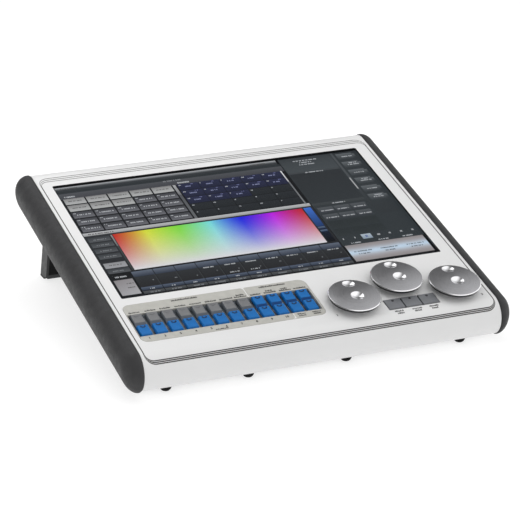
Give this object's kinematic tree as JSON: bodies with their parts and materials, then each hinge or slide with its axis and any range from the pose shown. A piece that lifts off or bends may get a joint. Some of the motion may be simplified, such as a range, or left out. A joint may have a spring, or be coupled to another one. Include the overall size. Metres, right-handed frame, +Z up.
{
  "type": "lighting control desk",
  "caption": "Slim wedge lighting control desk with a large touch display, key rows, domed encoder wheels, padded end cheeks and a fold-out rear leg.",
  "frame": {"origin": "middle of the whole desk seen from above, on the table it stands on", "axes": "+X to the operator's right, +Y to the rear, +Z up; the control panel slopes up towards +Y at 13.2 degrees"},
  "size_m": [0.4406, 0.3708, 0.1279],
  "materials": {
    "white_paint": "satin powder coat, fine texture",
    "black_paint": "matt powder coat",
    "grey_paint": "satin powder coat",
    "cheek_skin": "soft-touch moulded skin with a fine grain",
    "screen_glass": "clear touch glass, gloss",
    "screen_panel": "lit display",
    "bare_aluminium": "mill finish",
    "legend_plate": "satin",
    "well_plastic": "matt",
    "blue_key": "satin moulded",
    "grey_key": "satin moulded",
    "slate_button": "satin moulded",
    "wheel_metal": "turned, fine circular brush, polished dimples",
    "circuit_board": "solder mask",
    "socket_metal": "nickel plate",
    "socket_plastic": "matt",
    "rocker_plastic": "semi-gloss",
    "rubber": "matt"
  },
  "bodies": {
    "desk": {"top_cover": "white_paint", "base_pan": "black_paint", "rear_panel": "black_paint", "left_cheek": "cheek_skin", "right_cheek": "cheek_skin", "touch_glass": "screen_glass", "display_panel": "screen_panel", "display_frame": "bare_aluminium", "legend_plate": "legend_plate", "key_bezel": "well_plastic", "button_bezel": "well_plastic", "control_board": "circuit_board", "leg_lug_left": "black_paint", "leg_lug_right": "black_paint", "power_inlet": "socket_plastic", "network_socket": "socket_metal", "power_supply": "bare_aluminium", "main_board": "circuit_board", "dmx_socket_1": "socket_metal", "dmx_socket_2": "socket_metal", "encoder_left": "socket_plastic", "encoder_middle": "socket_plastic", "encoder_right": "socket_plastic", "front_foot_1": "rubber", "front_foot_2": "rubber", "front_foot_3": "rubber", "front_foot_4": "rubber"},
    "leg": {"leg": "grey_paint", "leg_pad": "rubber"},
    "power_rocker": {"power_rocker": "rocker_plastic"},
    "key_01": {"key_01": "grey_key"},
    "key_02": {"key_02": "grey_key"},
    "key_03": {"key_03": "grey_key"},
    "key_04": {"key_04": "grey_key"},
    "key_05": {"key_05": "grey_key"},
    "key_06": {"key_06": "grey_key"},
    "key_07": {"key_07": "grey_key"},
    "key_08": {"key_08": "grey_key"},
    "key_09": {"key_09": "blue_key"},
    "key_10": {"key_10": "blue_key"},
    "key_11": {"key_11": "blue_key"},
    "key_12": {"key_12": "blue_key"},
    "key_13": {"key_13": "blue_key"},
    "key_14": {"key_14": "blue_key"},
    "key_15": {"key_15": "blue_key"},
    "key_16": {"key_16": "blue_key"},
    "key_17": {"key_17": "blue_key"},
    "key_18": {"key_18": "blue_key"},
    "key_19": {"key_19": "blue_key"},
    "key_20": {"key_20": "blue_key"},
    "key_21": {"key_21": "blue_key"},
    "key_22": {"key_22": "blue_key"},
    "key_23": {"key_23": "blue_key"},
    "key_24": {"key_24": "blue_key"},
    "button_1": {"button_1": "slate_button"},
    "button_2": {"button_2": "slate_button"},
    "button_3": {"button_3": "slate_button"},
    "wheel_left": {"wheel_left": "wheel_metal"},
    "wheel_middle": {"wheel_middle": "wheel_metal"},
    "wheel_right": {"wheel_right": "wheel_metal"}
  },
  "joints": [
    {"name": "leg_fold", "type": "hinge", "parent": "desk", "child": "leg", "pos_m": [0, 0.15504, 0.07341], "axis": [-1, 0, 0], "range_deg": [0, 88]},
    {"name": "power_rock", "type": "hinge", "parent": "desk", "child": "power_rocker", "pos_m": [0.1645, 0.15751, 0.09618], "axis": [-1, 0, 0], "range_deg": [0, 16]},
    {"name": "key_01_press", "type": "slide", "parent": "desk", "child": "key_01", "axis": [0, 0.2284, -0.9736], "range_m": [0, 0.003], "stiffness_N_per_m": 100, "springref_m": -0.002},
    {"name": "key_02_press", "type": "slide", "parent": "desk", "child": "key_02", "axis": [0, 0.2284, -0.9736], "range_m": [0, 0.003], "stiffness_N_per_m": 100, "springref_m": -0.002},
    {"name": "key_03_press", "type": "slide", "parent": "desk", "child": "key_03", "axis": [0, 0.2284, -0.9736], "range_m": [0, 0.003], "stiffness_N_per_m": 100, "springref_m": -0.002},
    {"name": "key_04_press", "type": "slide", "parent": "desk", "child": "key_04", "axis": [0, 0.2284, -0.9736], "range_m": [0, 0.003], "stiffness_N_per_m": 100, "springref_m": -0.002},
    {"name": "key_05_press", "type": "slide", "parent": "desk", "child": "key_05", "axis": [0, 0.2284, -0.9736], "range_m": [0, 0.003], "stiffness_N_per_m": 100, "springref_m": -0.002},
    {"name": "key_06_press", "type": "slide", "parent": "desk", "child": "key_06", "axis": [0, 0.2284, -0.9736], "range_m": [0, 0.003], "stiffness_N_per_m": 100, "springref_m": -0.002},
    {"name": "key_07_press", "type": "slide", "parent": "desk", "child": "key_07", "axis": [0, 0.2284, -0.9736], "range_m": [0, 0.003], "stiffness_N_per_m": 100, "springref_m": -0.002},
    {"name": "key_08_press", "type": "slide", "parent": "desk", "child": "key_08", "axis": [0, 0.2284, -0.9736], "range_m": [0, 0.003], "stiffness_N_per_m": 100, "springref_m": -0.002},
    {"name": "key_09_press", "type": "slide", "parent": "desk", "child": "key_09", "axis": [0, 0.2284, -0.9736], "range_m": [0, 0.003], "stiffness_N_per_m": 100, "springref_m": -0.002},
    {"name": "key_10_press", "type": "slide", "parent": "desk", "child": "key_10", "axis": [0, 0.2284, -0.9736], "range_m": [0, 0.003], "stiffness_N_per_m": 100, "springref_m": -0.002},
    {"name": "key_11_press", "type": "slide", "parent": "desk", "child": "key_11", "axis": [0, 0.2284, -0.9736], "range_m": [0, 0.003], "stiffness_N_per_m": 100, "springref_m": -0.002},
    {"name": "key_12_press", "type": "slide", "parent": "desk", "child": "key_12", "axis": [0, 0.2284, -0.9736], "range_m": [0, 0.003], "stiffness_N_per_m": 100, "springref_m": -0.002},
    {"name": "key_13_press", "type": "slide", "parent": "desk", "child": "key_13", "axis": [0, 0.2284, -0.9736], "range_m": [0, 0.003], "stiffness_N_per_m": 100, "springref_m": -0.002},
    {"name": "key_14_press", "type": "slide", "parent": "desk", "child": "key_14", "axis": [0, 0.2284, -0.9736], "range_m": [0, 0.003], "stiffness_N_per_m": 100, "springref_m": -0.002},
    {"name": "key_15_press", "type": "slide", "parent": "desk", "child": "key_15", "axis": [0, 0.2284, -0.9736], "range_m": [0, 0.003], "stiffness_N_per_m": 100, "springref_m": -0.002},
    {"name": "key_16_press", "type": "slide", "parent": "desk", "child": "key_16", "axis": [0, 0.2284, -0.9736], "range_m": [0, 0.003], "stiffness_N_per_m": 100, "springref_m": -0.002},
    {"name": "key_17_press", "type": "slide", "parent": "desk", "child": "key_17", "axis": [0, 0.2284, -0.9736], "range_m": [0, 0.003], "stiffness_N_per_m": 100, "springref_m": -0.002},
    {"name": "key_18_press", "type": "slide", "parent": "desk", "child": "key_18", "axis": [0, 0.2284, -0.9736], "range_m": [0, 0.003], "stiffness_N_per_m": 100, "springref_m": -0.002},
    {"name": "key_19_press", "type": "slide", "parent": "desk", "child": "key_19", "axis": [0, 0.2284, -0.9736], "range_m": [0, 0.003], "stiffness_N_per_m": 100, "springref_m": -0.002},
    {"name": "key_20_press", "type": "slide", "parent": "desk", "child": "key_20", "axis": [0, 0.2284, -0.9736], "range_m": [0, 0.003], "stiffness_N_per_m": 100, "springref_m": -0.002},
    {"name": "key_21_press", "type": "slide", "parent": "desk", "child": "key_21", "axis": [0, 0.2284, -0.9736], "range_m": [0, 0.003], "stiffness_N_per_m": 100, "springref_m": -0.002},
    {"name": "key_22_press", "type": "slide", "parent": "desk", "child": "key_22", "axis": [0, 0.2284, -0.9736], "range_m": [0, 0.003], "stiffness_N_per_m": 100, "springref_m": -0.002},
    {"name": "key_23_press", "type": "slide", "parent": "desk", "child": "key_23", "axis": [0, 0.2284, -0.9736], "range_m": [0, 0.003], "stiffness_N_per_m": 100, "springref_m": -0.002},
    {"name": "key_24_press", "type": "slide", "parent": "desk", "child": "key_24", "axis": [0, 0.2284, -0.9736], "range_m": [0, 0.003], "stiffness_N_per_m": 100, "springref_m": -0.002},
    {"name": "button_1_press", "type": "slide", "parent": "desk", "child": "button_1", "axis": [0, 0.2284, -0.9736], "range_m": [0, 0.003], "stiffness_N_per_m": 100, "springref_m": -0.002},
    {"name": "button_2_press", "type": "slide", "parent": "desk", "child": "button_2", "axis": [0, 0.2284, -0.9736], "range_m": [0, 0.003], "stiffness_N_per_m": 100, "springref_m": -0.002},
    {"name": "button_3_press", "type": "slide", "parent": "desk", "child": "button_3", "axis": [0, 0.2284, -0.9736], "range_m": [0, 0.003], "stiffness_N_per_m": 100, "springref_m": -0.002},
    {"name": "wheel_left_turn", "type": "hinge", "parent": "desk", "child": "wheel_left", "pos_m": [0.0491, -0.143, 0.06103], "axis": [0, -0.2284, 0.9736], "continuous": true},
    {"name": "wheel_middle_turn", "type": "hinge", "parent": "desk", "child": "wheel_middle", "pos_m": [0.1086, -0.12187, 0.06598], "axis": [0, -0.2284, 0.9736], "continuous": true},
    {"name": "wheel_right_turn", "type": "hinge", "parent": "desk", "child": "wheel_right", "pos_m": [0.1667, -0.14359, 0.06089], "axis": [0, -0.2284, 0.9736], "continuous": true}
  ]
}
